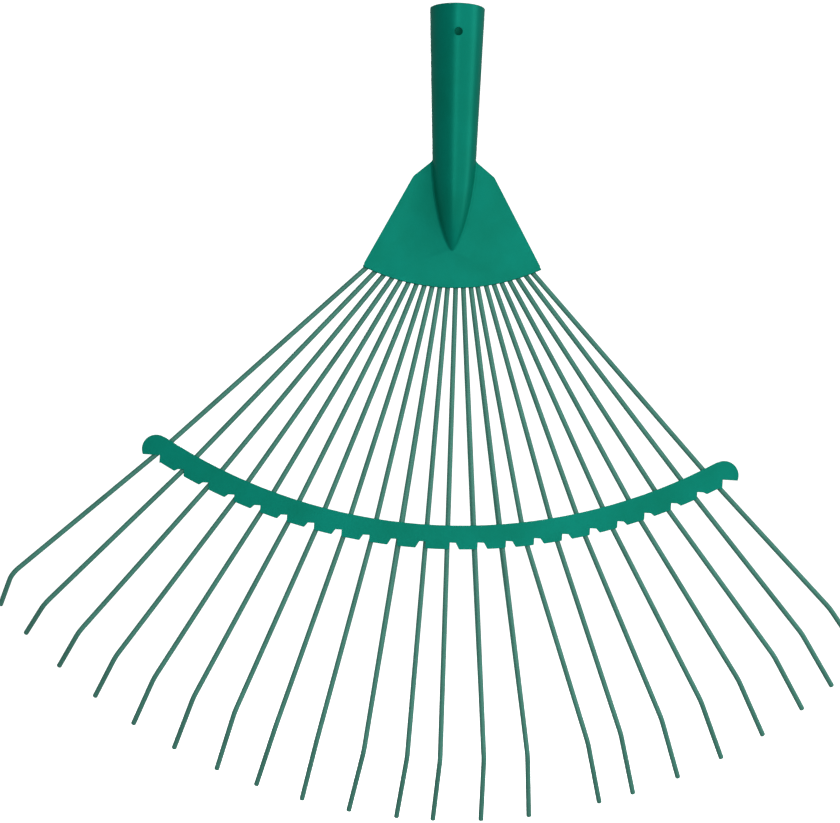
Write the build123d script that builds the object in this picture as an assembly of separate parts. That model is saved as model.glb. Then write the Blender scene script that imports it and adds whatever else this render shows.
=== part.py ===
from build123d import *
import math
import os

# A spring-tine garden rake head, without its handle.
# The origin is the centre of the socket's mouth. +Z points up out of the mouth,
# the front face looks along -Y, and the tines fan out and down towards -Z.
# All lengths are in millimetres and all angles in degrees.

# Stock
sheet = 1.2
wire = 2.8
play = 0.05

# Socket: a cone rolled from the head's sheet, with an open seam at the back
mouth_radius = 15.2
neck_radius = 12.0
neck_z = -84.8
seam_width = 1.2
seam_x = -3.0
seam_opens_z = -56.0
screw_hole_radius = 2.3
screw_hole_x = 0.9
screw_hole_z = -15.6
edge_rounding = 0.4

# Fan plate: the lower part of the same sheet, with a pressed ridge down its middle
plate_front_y = -1.5
ridge_tip_z = -136.8
ridge_foot_rounding = 1.5
ridge_flank_inset = 0.9
ridge_flank_drop = 20.0
ridge_nose_inset = 5.2
ridge_nose_rise = 13.0
plate_top_z = -77.8
plate_top_half = 11.6
shoulder_start_z = -84.2
neck_rounding = 4.0
shoulder_half = 22.2
shoulder_z = -93.0
shoulder_rounding = 5.0
side_angle = 28.2
lower_edge_z = -154.1
lower_edge_radius = 114.0
hem_rounding = 2.0
hem_end_z = -139.3
lip_width = 5.5

# Back plate, held inside the hems of the fan plate
back_plate_top_z = -105.8
back_plate_short = 1.5

# Tine fan: straight wires set in the head, spread a little more below the brace
tines_per_side = 11
fan_swing = 2.2
fan_apex_rise = 55.3
half_fan_offset = 0.95
first_upper_angle = 1.3
upper_pitch = 4.35
first_lower_angle = 1.75
lower_pitch = 4.4
root_radius = 42.0
root_stagger = 5.5
hook_rounding = 2.0
hook_stand = 0.8
hook_play = 0.3
middle_reach = 346.0
outer_reach = 340.0
first_tip_run = 18.5
tip_run_growth = 2.7
longest_tip_run = 35.0
tip_drop = 18.0
kink_rounding = 12.0
spread_rounding = 60.0
# Hand-bent irregularities, by tine number from 1 at -X to 22 at +X: most wires lean a
# little out of the even fan below the brace, one strays into its neighbour's gap, and
# the tips are twisted about their shafts towards the middle of the fan
left_lean = 1.2
left_leaning_tines = range(1, 10)
right_lean = 2.2
right_leaning_tines = range(16, 21)
stray_tine = 15
stray_upper_lean = -0.5
stray_lower_lean = 5.5
last_tine_upper_lean = -0.75
left_twist = 9.0
left_twisted_tines = range(2, 8)
right_twist = -10.0
right_twisted_tines = range(10, 23)
first_tine_twist = 25.0

# Cross brace: an arched strip in front of the tines, clipped to each of them
brace_sheet = 1.0
brace_top_drop = 129.3
brace_radius = 296.0
brace_depth = 13.0
brace_shift = -4.3
brace_end_radius = 7.8
brace_end_drop = 1.5
left_end_turn = -29.8
right_end_turn = 31.3
comb_turn = 0.9
first_step_turn = 1.2
step_pitch = 2.85
notch_height = 3.7
notch_width = 3.4
notch_ramp = 2.0
tooth_rounding = 0.8
clip_length = 4.6
clip_sheet = 0.9
clip_inset = 4.2
clip_play = 0.12

# Values that follow from the driving dimensions
all_tines = range(1, 2 * tines_per_side + 1)
tine_y = plate_front_y + sheet + play + wire / 2
back_plate_y = tine_y + wire / 2 + play
hem_depth = back_plate_y + sheet + play + sheet - plate_front_y
brace_y = tine_y - wire / 2 - play - brace_sheet
brace_centre_z = brace_radius - brace_top_drop - fan_apex_rise


def upright(face, front_y, thickness):
    """Stand a flat X-Z face up as a slab that starts at front_y and goes back."""
    plane = Plane.XZ.offset(-(front_y + thickness))
    return extrude(plane * face, thickness)


def turned_body(mouth, neck, tip_z):
    """A cone down to the neck that closes in a long rounded nose at tip_z."""
    top = (mouth, 0)
    shoulder = (neck, neck_z)
    cone_line = Line(top, shoulder)
    flank = (neck - ridge_flank_inset, neck_z - ridge_flank_drop)
    nose = (neck - ridge_nose_inset, tip_z + ridge_nose_rise)
    nose_line = Bezier(shoulder, flank, nose, (0, tip_z))
    centre_line = Polyline((0, tip_z), (0, 0), top)
    profile = make_face(Curve() + [cone_line, nose_line, centre_line])
    return revolve(Plane.XZ * profile, Axis.Z)


def plate_outline(inset):
    """The fan plate's shoulders and sides, run on below its lower edge."""
    run_on_z = lower_edge_z - 30
    run_on_half = shoulder_half + (shoulder_z - run_on_z) * math.tan(math.radians(side_angle))
    right = [
        (plate_top_half, plate_top_z),
        (plate_top_half, shoulder_start_z),
        (shoulder_half, shoulder_z),
        (run_on_half, run_on_z),
    ]
    left = [(-x, z) for x, z in reversed(right)]
    face = make_face(Polyline(*right, *left, close=True))
    shoulders = [v for v in face.vertices() if abs(v.Y - shoulder_z) < 0.1]
    face = fillet(shoulders, shoulder_rounding)
    necks = [v for v in face.vertices() if abs(v.Y - shoulder_start_z) < 0.1]
    face = fillet(necks, neck_rounding)
    if inset:
        face = offset(face, -inset)
    return face


def lower_disc(shorter):
    """The disc whose lowest arc is the plate's lower edge."""
    centre_z = lower_edge_z + lower_edge_radius
    return Pos(0, centre_z) * Circle(lower_edge_radius - shorter)


def make_head_shell():
    """Socket, ridge, fan plate and hems: one sheet, pressed and rolled."""
    nose = turned_body(mouth_radius, neck_radius, ridge_tip_z)
    backing_middle = Pos(0, plate_front_y + mouth_radius, neck_z - mouth_radius)
    pressed = nose + backing_middle * Box(8 * neck_radius, 2 * mouth_radius, 10 * neck_radius)
    foot_edges = [
        edge for edge in pressed.edges()
        if abs(edge.bounding_box().min.Y - plate_front_y) < 0.01
        and abs(edge.bounding_box().max.Y - plate_front_y) < 0.01
        and abs(edge.bounding_box().max.X) < mouth_radius
    ]
    pressed = fillet(foot_edges, ridge_foot_rounding)
    outline = plate_outline(0) & lower_disc(0)
    ridge = pressed & upright(outline, plate_front_y - mouth_radius, mouth_radius + sheet / 2)
    block = upright(outline, plate_front_y, hem_depth)
    rim_edges = [
        edge for edge in block.faces().sort_by(Axis.Y)[0].edges()
        if lower_edge_z + sheet < edge.center().Z < shoulder_start_z
    ]
    block = fillet(rim_edges, hem_rounding)
    tube = nose & Pos(0, 0, neck_z / 2) * Box(3 * mouth_radius, 3 * mouth_radius, -neck_z)
    shell = tube + ridge + block
    shell = shell - turned_body(mouth_radius - sheet, neck_radius - sheet, ridge_tip_z + sheet)
    pocket_y = plate_front_y + sheet
    shell = shell - upright(plate_outline(sheet), pocket_y, hem_depth - 2 * sheet)
    shell = shell - upright(plate_outline(lip_width), pocket_y, hem_depth)
    corner_relief = Pos(0, hem_end_z + lower_edge_z) * Rectangle(20 * neck_radius, -2 * lower_edge_z)
    shell = shell - upright(corner_relief, pocket_y, hem_depth)
    seam = Polyline(
        (seam_x - seam_width / 2, sheet),
        (seam_x + seam_width / 2, sheet),
        (seam_x + seam_width / 2, seam_opens_z),
        (neck_radius - sheet, neck_z - 2 * sheet),
        (sheet - neck_radius, neck_z - 2 * sheet),
        (seam_x - seam_width / 2, seam_opens_z),
        close=True,
    )
    shell = shell - upright(make_face(seam), pocket_y, 2 * mouth_radius)
    screw_hole = Rot(90, 0, 0) * Cylinder(screw_hole_radius, mouth_radius)
    shell = shell - Pos(screw_hole_x, -mouth_radius, screw_hole_z) * screw_hole
    round_edges = shell.edges().filter_by(GeomType.CIRCLE)
    mouth_edges = [edge for edge in round_edges if edge.bounding_box().min.Z > -0.01]
    plate_edges = [edge for edge in round_edges if edge.bounding_box().min.Z < lower_edge_z + 0.01]
    return fillet(mouth_edges + plate_edges, edge_rounding)


def fan_point(x, z, y=tine_y):
    """A point given about the fan's apex, swung about the plate's lower edge."""
    swing = math.radians(fan_swing)
    rise = fan_apex_rise + z
    new_x = x * math.cos(swing) + rise * math.sin(swing)
    new_z = rise * math.cos(swing) - x * math.sin(swing)
    return (new_x, y, lower_edge_z + new_z)


def tine_angles(tine):
    """Side (-1 or 1) and the angles above and below the brace of one tine."""
    if tine <= tines_per_side:
        side = -1
        step = tines_per_side - tine
    else:
        side = 1
        step = tine - tines_per_side - 1
    upper = first_upper_angle + upper_pitch * step
    lower = first_lower_angle + lower_pitch * step
    if tine in left_leaning_tines:
        lower += left_lean
    if tine in right_leaning_tines:
        lower += right_lean
    if tine == stray_tine:
        upper += stray_upper_lean
        lower += stray_lower_lean
    if tine == 2 * tines_per_side:
        upper += last_tine_upper_lean
    return side, upper, lower


def tip_twist(tine):
    """How far the bent tip of one tine is turned about its shaft."""
    if tine == 1:
        return first_tine_twist
    if tine in left_twisted_tines:
        return left_twist
    if tine in right_twisted_tines:
        return right_twist
    return 0


def brace_crossing(side, angle, radius):
    """Where a shaft at this angle meets a circle about the brace's own centre."""
    slope = Vector(side * math.sin(math.radians(angle)), -math.cos(math.radians(angle)))
    start = Vector(side * half_fan_offset, 0)
    centre = Vector(brace_shift, brace_centre_z)
    along = (centre - start).dot(slope)
    off = (centre - start - slope * along).length
    return start + slope * (along + math.sqrt(radius ** 2 - off ** 2))


def root_depth(tine):
    """How far below the fan's apex a wire is hooked; neighbours are staggered."""
    return root_radius + root_stagger * ((tine + 1) % 2)


def make_tine(tine):
    """One wire: hooked through the back plate, straight to the brace, bent at the tip."""
    side, upper, lower = tine_angles(tine)
    start = Vector(side * half_fan_offset, 0)
    upper_way = Vector(side * math.sin(math.radians(upper)), -math.cos(math.radians(upper)))
    lower_way = Vector(side * math.sin(math.radians(lower)), -math.cos(math.radians(lower)))
    root = start + upper_way * root_depth(tine)
    bend = brace_crossing(side, upper, brace_radius + brace_depth / 2)
    outwards = abs(2 * tine - 2 * tines_per_side - 1) / (2 * tines_per_side - 1)
    reach = middle_reach - (middle_reach - outer_reach) * outwards ** 2
    tip_run = min(longest_tip_run, first_tip_run + tip_run_growth * (tine - 1))
    kink = bend + lower_way * (reach - tip_run - bend.length)
    twist = math.radians(tip_twist(tine))
    across = Vector(lower_way.Y, -lower_way.X) * -1
    tip = kink + lower_way * tip_run + across * (tip_drop * math.sin(twist))
    tip_y = tine_y + tip_drop * math.cos(twist)
    hook_y = back_plate_y + sheet + hook_stand
    path = FilletPolyline(
        fan_point(root.X, root.Y, hook_y),
        fan_point(root.X, root.Y),
        fan_point(bend.X, bend.Y),
        fan_point(kink.X, kink.Y),
        fan_point(tip.X, tip.Y, tip_y),
        radius=[hook_rounding, spread_rounding, kink_rounding],
    )
    section = Plane(origin=path @ 0, z_dir=path % 0) * Circle(wire / 2)
    return sweep(section, path=path)


def make_back_plate():
    """A flat plate behind the tines, holed for their hooked ends."""
    face = plate_outline(sheet + play) & lower_disc(back_plate_short)
    keep = Pos(0, back_plate_top_z - middle_reach) * Rectangle(2 * middle_reach, 2 * middle_reach)
    plate = upright(face & keep, back_plate_y, sheet)
    for tine in all_tines:
        side, upper = tine_angles(tine)[:2]
        x = side * (half_fan_offset + root_depth(tine) * math.sin(math.radians(upper)))
        z = -root_depth(tine) * math.cos(math.radians(upper))
        hook_hole = Rot(90, 0, 0) * Cylinder(wire / 2 + hook_play, 4 * sheet)
        plate = plate - Pos(*fan_point(x, z, back_plate_y)) * hook_hole
    return plate


def brace_point(turn, radius):
    """A point of the brace at this angle about its own centre."""
    x = brace_shift + radius * math.sin(math.radians(turn))
    return Vector(x, brace_centre_z - radius * math.cos(math.radians(turn)))


def brace_notch(side, step, width):
    """The cut outside one tooth: an upright step, a level floor and a ramp down."""
    turn = comb_turn + side * (first_step_turn + step_pitch * step)
    foot = brace_point(turn, brace_radius + brace_depth)
    edge_slope = math.tan(math.radians(abs(turn)))
    outline = [
        (0, -brace_depth),
        (0, notch_height),
        (width, notch_height),
        (width + notch_ramp, edge_slope * (width + notch_ramp)),
        (width + notch_ramp, -brace_depth),
    ]
    points = [(foot.X + side * x, foot.Y + z) for x, z in outline]
    return make_face(Polyline(*points, close=True))


def brace_outline():
    """The strip's flat outline about the fan's apex: band, round ends and notches."""
    far = 2 * brace_radius
    turns = (left_end_turn, right_end_turn)
    corners = [brace_point(turn, far) for turn in turns]
    hub = brace_point(0, 0)
    wedge = make_face(Polyline((hub.X, hub.Y), *[(p.X, p.Y) for p in corners], close=True))
    ring = Circle(brace_radius + brace_depth) - Circle(brace_radius)
    band = (Pos(hub.X, hub.Y) * ring) & wedge
    for turn in turns:
        end = brace_point(turn, brace_radius + brace_depth / 2 + brace_end_drop)
        band = band + Pos(end.X, end.Y) * Circle(brace_end_radius)
    for step in range(tines_per_side):
        for side in (-1, 1):
            last = step == tines_per_side - 1
            band = band - brace_notch(side, step, 2 * brace_depth if last else notch_width)
    low_radius = brace_radius + brace_depth
    tooth_corners = [
        corner for corner in band.vertices()
        if abs(math.hypot(corner.X - hub.X, corner.Y - hub.Y) - low_radius) < 0.01
    ]
    return fillet(tooth_corners, tooth_rounding)


def make_brace():
    """A toothed strip, with a clip folded round the back of every tine."""
    low_radius = brace_radius + brace_depth
    swing = Pos(0, lower_edge_z) * Rot(0, 0, -fan_swing) * Pos(0, fan_apex_rise)
    swung = swing * brace_outline()
    brace = upright(swung, brace_y, brace_sheet)
    for tine in all_tines:
        side, upper = tine_angles(tine)[:2]
        middle = brace_crossing(side, upper, low_radius - notch_height - clip_inset)
        outside_y = tine_y + wire / 2 + play + clip_sheet
        clip_front = brace_y + brace_sheet / 2
        clip = Box(wire + 2 * (clip_play + clip_sheet), outside_y - clip_front, clip_length)
        clip = fillet(clip.edges().filter_by(Axis.Z).group_by(Axis.Y)[-1], clip_sheet)
        room_back = tine_y + wire / 2 + play
        room_front = brace_y + brace_sheet
        room = Box(wire + 2 * clip_play, room_back - room_front, 2 * clip_length)
        x, y, z = fan_point(middle.X, middle.Y)
        turn = Rot(0, fan_swing - side * upper, 0)
        clip = Pos(x, (outside_y + clip_front) / 2, z) * turn * clip
        room = Pos(x, (room_back + room_front) / 2, z) * turn * room
        brace = brace + clip - room
    return brace


os.makedirs("parts", exist_ok=True)
export_step(make_head_shell(), "parts/head_shell.step")
export_step(make_back_plate(), "parts/back_plate.step")
export_step(make_brace(), "parts/cross_brace.step")
for tine_number in all_tines:
    export_step(make_tine(tine_number), f"parts/tine_{tine_number:02d}.step")
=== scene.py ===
import math

import bmesh
import bpy
from mathutils import Matrix, Vector


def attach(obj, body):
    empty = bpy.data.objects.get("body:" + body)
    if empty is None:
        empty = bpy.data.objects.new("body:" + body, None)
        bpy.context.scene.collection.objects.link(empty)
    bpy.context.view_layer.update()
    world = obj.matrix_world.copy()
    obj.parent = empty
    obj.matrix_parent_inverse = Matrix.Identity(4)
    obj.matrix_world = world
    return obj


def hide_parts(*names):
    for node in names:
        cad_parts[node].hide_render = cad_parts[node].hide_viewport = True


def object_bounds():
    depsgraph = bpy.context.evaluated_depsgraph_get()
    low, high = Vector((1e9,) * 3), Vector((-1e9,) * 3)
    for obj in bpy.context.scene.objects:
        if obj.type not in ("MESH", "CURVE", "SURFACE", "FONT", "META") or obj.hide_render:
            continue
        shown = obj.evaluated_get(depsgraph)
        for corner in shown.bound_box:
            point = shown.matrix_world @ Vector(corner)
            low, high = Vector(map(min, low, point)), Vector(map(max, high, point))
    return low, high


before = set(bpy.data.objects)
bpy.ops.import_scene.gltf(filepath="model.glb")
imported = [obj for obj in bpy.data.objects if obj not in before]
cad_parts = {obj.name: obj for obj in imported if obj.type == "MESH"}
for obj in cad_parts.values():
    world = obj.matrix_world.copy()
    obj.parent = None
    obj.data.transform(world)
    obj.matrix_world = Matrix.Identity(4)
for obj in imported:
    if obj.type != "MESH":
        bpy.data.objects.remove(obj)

cad_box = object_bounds()

# ---- Head shell -------------------------------------------------------------
# The socket, the ridged fan plate and its hems are one piece of 1.2 mm steel sheet.
# It is blanked, pressed and rolled, its cut edges are tumbled blunt, and the whole
# head is then dipped in a satin green enamel with a little metal flake.


def enamelled_part(name, edge_round, steps, coat):
    """The part as it leaves the workshop: its faces whole, its cut edges blunted, and coated."""
    same_place = 0.000001
    flat_within = math.radians(0.6)
    shape = bmesh.new()
    shape.from_mesh(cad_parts[name].data)
    bmesh.ops.remove_doubles(shape, verts=shape.verts, dist=same_place)
    bmesh.ops.dissolve_limit(
        shape, angle_limit=flat_within, verts=shape.verts, edges=shape.edges,
        use_dissolve_boundaries=False, delimit={"SHARP"})
    for face in shape.faces:
        face.smooth = True
    for edge in shape.edges:
        edge.smooth = True
    mesh = bpy.data.meshes.new(name + "_enamelled")
    shape.to_mesh(mesh)
    shape.free()
    for layer in ("custom_normal", "sharp_edge"):
        if layer in mesh.attributes:
            mesh.attributes.remove(mesh.attributes[layer])
    mesh.materials.append(coat)
    piece = bpy.data.objects.new(name + "_enamelled", mesh)
    bpy.context.scene.collection.objects.link(piece)
    blunt = piece.modifiers.new("blunted_edges", "BEVEL")
    blunt.width = edge_round
    blunt.segments = steps
    blunt.limit_method = "ANGLE"
    blunt.angle_limit = math.radians(32)
    blunt.harden_normals = True
    blunt.use_clamp_overlap = True
    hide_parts(name)
    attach(piece, "root")


def enamel(name, thin, full, flake, roughness, shine, mottle, peel_scale, peel_depth):
    """Dipped enamel: thinner, darker and duller in patches, with a fine orange peel."""
    duller = 0.06
    glossier = 0.05
    material = bpy.data.materials.new(name)
    material.use_nodes = True
    nodes = material.node_tree.nodes
    links = material.node_tree.links
    shader = nodes["Principled BSDF"]
    shader.inputs["Metallic"].default_value = flake
    shader.inputs["Specular IOR Level"].default_value = shine
    place = nodes.new("ShaderNodeTexCoord")
    patches = nodes.new("ShaderNodeTexNoise")
    patches.inputs["Scale"].default_value = mottle
    patches.inputs["Detail"].default_value = 6
    patches.inputs["Roughness"].default_value = 0.6
    tint = nodes.new("ShaderNodeValToRGB")
    tint.color_ramp.elements[0].position = 0.32
    tint.color_ramp.elements[0].color = (*thin, 1)
    tint.color_ramp.elements[1].position = 0.62
    tint.color_ramp.elements[1].color = (*full, 1)
    gloss = nodes.new("ShaderNodeMapRange")
    gloss.inputs["To Min"].default_value = roughness + duller
    gloss.inputs["To Max"].default_value = roughness - glossier
    peel = nodes.new("ShaderNodeTexNoise")
    peel.inputs["Scale"].default_value = peel_scale
    peel.inputs["Detail"].default_value = 2
    skin = nodes.new("ShaderNodeBump")
    skin.inputs["Strength"].default_value = 0.5
    skin.inputs["Distance"].default_value = peel_depth
    links.new(place.outputs["Object"], patches.inputs["Vector"])
    links.new(place.outputs["Object"], peel.inputs["Vector"])
    links.new(patches.outputs["Fac"], tint.inputs["Fac"])
    links.new(patches.outputs["Fac"], gloss.inputs["Value"])
    links.new(peel.outputs["Fac"], skin.inputs["Height"])
    links.new(tint.outputs["Color"], shader.inputs["Base Color"])
    links.new(gloss.outputs["Result"], shader.inputs["Roughness"])
    links.new(skin.outputs["Normal"], shader.inputs["Normal"])
    return material


sheet_enamel = enamel(
    "sheet_enamel", thin=(0.0, 0.285, 0.19), full=(0.0, 0.33, 0.235), flake=0.3, roughness=0.33,
    shine=0.08, mottle=22, peel_scale=700, peel_depth=0.00006)
enamelled_part("head_shell", edge_round=0.0003, steps=3, coat=sheet_enamel)

# ---- Back plate -------------------------------------------------------------
# A flat sheet plate behind the wires, punched with a hole for each wire's hook and
# held by the hems of the head shell. It is dipped in the same enamel.
enamelled_part("back_plate", edge_round=0.0002, steps=2, coat=sheet_enamel)

# ---- Tines ------------------------------------------------------------------
# Twenty-two hard-drawn spring wires, 2.8 mm thick, hooked through the back plate and
# bent at the tip. The same green lies thinner and greyer on them.
wire_enamel = enamel(
    "wire_enamel", thin=(0.1, 0.36, 0.275), full=(0.12, 0.43, 0.33), flake=0.1, roughness=0.42,
    shine=0.2, mottle=60, peel_scale=1500, peel_depth=0.00004)
for name in sorted(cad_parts):
    if name.startswith("tine_"):
        enamelled_part(name, edge_round=0.0005, steps=3, coat=wire_enamel)

# ---- Cross brace ------------------------------------------------------------
# An arched strip of 1 mm sheet in front of the wires, with a saw-toothed lower edge,
# and a clip folded round the back of each wire. It has the head's enamel.
enamelled_part("cross_brace", edge_round=0.0003, steps=3, coat=sheet_enamel)

# ---- Floor ------------------------------------------------------------------
# A pale seamless sweep of paper, well below the tips: a floor that curves up into a
# backdrop. It glows a little by itself, and throws no light back onto the rake.
floor_drop = 0.2
floor_z = cad_box[0][2] - floor_drop
sweep_front_y = -3.5
sweep_back_y = 2.2
sweep_radius = 0.8
sweep_top = 3.5
sweep_half = 4.5
sweep = bmesh.new()
heel = sweep.verts.new((-sweep_half, sweep_front_y, floor_z))
toe = sweep.verts.new((-sweep_half, sweep_back_y, floor_z))
sweep.edges.new((heel, toe))
bmesh.ops.spin(
    sweep, geom=[toe], cent=(-sweep_half, sweep_back_y, floor_z + sweep_radius), axis=(1, 0, 0),
    angle=math.radians(90), steps=24, use_merge=False)
sweep.verts.ensure_lookup_table()
last = max(sweep.verts, key=lambda point: point.co.z)
rim = sweep.verts.new((-sweep_half, last.co.y, sweep_top))
sweep.edges.new((last, rim))
drawn = bmesh.ops.extrude_edge_only(sweep, edges=sweep.edges[:])
far_side = [part for part in drawn["geom"] if isinstance(part, bmesh.types.BMVert)]
bmesh.ops.translate(sweep, verts=far_side, vec=(2 * sweep_half, 0, 0))
bmesh.ops.recalc_face_normals(sweep, faces=sweep.faces[:])
for face in sweep.faces:
    face.smooth = True
floor_mesh = bpy.data.meshes.new("floor")
sweep.to_mesh(floor_mesh)
sweep.free()
floor = bpy.data.objects.new("floor", floor_mesh)
bpy.context.scene.collection.objects.link(floor)
paper = bpy.data.materials.new("backdrop_paper")
paper.use_nodes = True
paper_shader = paper.node_tree.nodes["Principled BSDF"]
paper_shader.inputs["Base Color"].default_value = (0.9, 0.9, 0.9, 1)
paper_shader.inputs["Roughness"].default_value = 0.9
paper_shader.inputs["Specular IOR Level"].default_value = 0.1
paper_shader.inputs["Emission Color"].default_value = (1, 1, 1, 1)
paper_shader.inputs["Emission Strength"].default_value = 0.95
floor_mesh.materials.append(paper)
floor.visible_glossy = False
floor.visible_diffuse = False

# ---- Studio light -----------------------------------------------------------
# A wide soft box to the right in front, a strip for the sheen, one soft box at the
# side, one behind, and a dim pale room.
world = bpy.data.worlds.new("studio")
bpy.context.scene.world = world
world.use_nodes = True
room = world.node_tree
room_light = room.nodes["Background"]
room_light.inputs["Color"].default_value = (1, 1, 1, 1)
room_light.inputs["Strength"].default_value = 0.22
white_wall = room.nodes.new("ShaderNodeBackground")
white_wall.inputs["Color"].default_value = (1, 1, 1, 1)
white_wall.inputs["Strength"].default_value = 1.0
seen = room.nodes.new("ShaderNodeLightPath")
either = room.nodes.new("ShaderNodeMixShader")
room.links.new(seen.outputs["Is Camera Ray"], either.inputs["Fac"])
room.links.new(room_light.outputs["Background"], either.inputs[1])
room.links.new(white_wall.outputs["Background"], either.inputs[2])
room.links.new(either.outputs["Shader"], room.nodes["World Output"].inputs["Surface"])


def softbox(name, place, aim, width, height, power):
    """A rectangular soft box at this place, turned towards its aim."""
    data = bpy.data.lights.new(name, "AREA")
    data.shape = "RECTANGLE"
    data.size = width
    data.size_y = height
    data.energy = power
    lamp = bpy.data.objects.new(name, data)
    bpy.context.scene.collection.objects.link(lamp)
    lamp.visible_camera = False
    lamp.location = place
    lamp.rotation_euler = (Vector(aim) - Vector(place)).to_track_quat("-Z", "Y").to_euler()


middle = (0, 0, -0.22)
softbox("key_softbox", place=(1.12, -1.66, 0.0), aim=middle, width=4.2, height=2.4, power=23)
softbox("side_softbox", place=(2.2, -0.35, 0.1), aim=middle, width=0.9, height=1.6, power=5)
softbox("strip_light", place=(0.12, -2.2, 0.1), aim=middle, width=0.16, height=1.6, power=2.5)
softbox("back_softbox", place=(-0.1, 2.1, 0.8), aim=middle, width=1.2, height=1.2, power=34)

# ---- Camera -----------------------------------------------------------------
# A long lens a little below the middle of the rake and just over a metre in front of
# it, looking slightly upwards and turned slightly about its own axis.
camera_data = bpy.data.cameras.new("camera")
camera_data.sensor_fit = "HORIZONTAL"
camera_data.sensor_width = 36
camera_data.lens = 93.65
camera = bpy.data.objects.new("camera", camera_data)
bpy.context.scene.collection.objects.link(camera)
stand = Matrix.Translation((0.0006, -1.1885, -0.2774))
swing = Matrix.Rotation(math.radians(0.79), 4, "Z")
tilt = Matrix.Rotation(math.radians(92.68), 4, "X")
roll = Matrix.Rotation(math.radians(1.23), 4, "Z")
camera.matrix_world = stand @ swing @ tilt @ roll
bpy.context.scene.camera = camera
bpy.context.scene.view_settings.view_transform = "Standard"
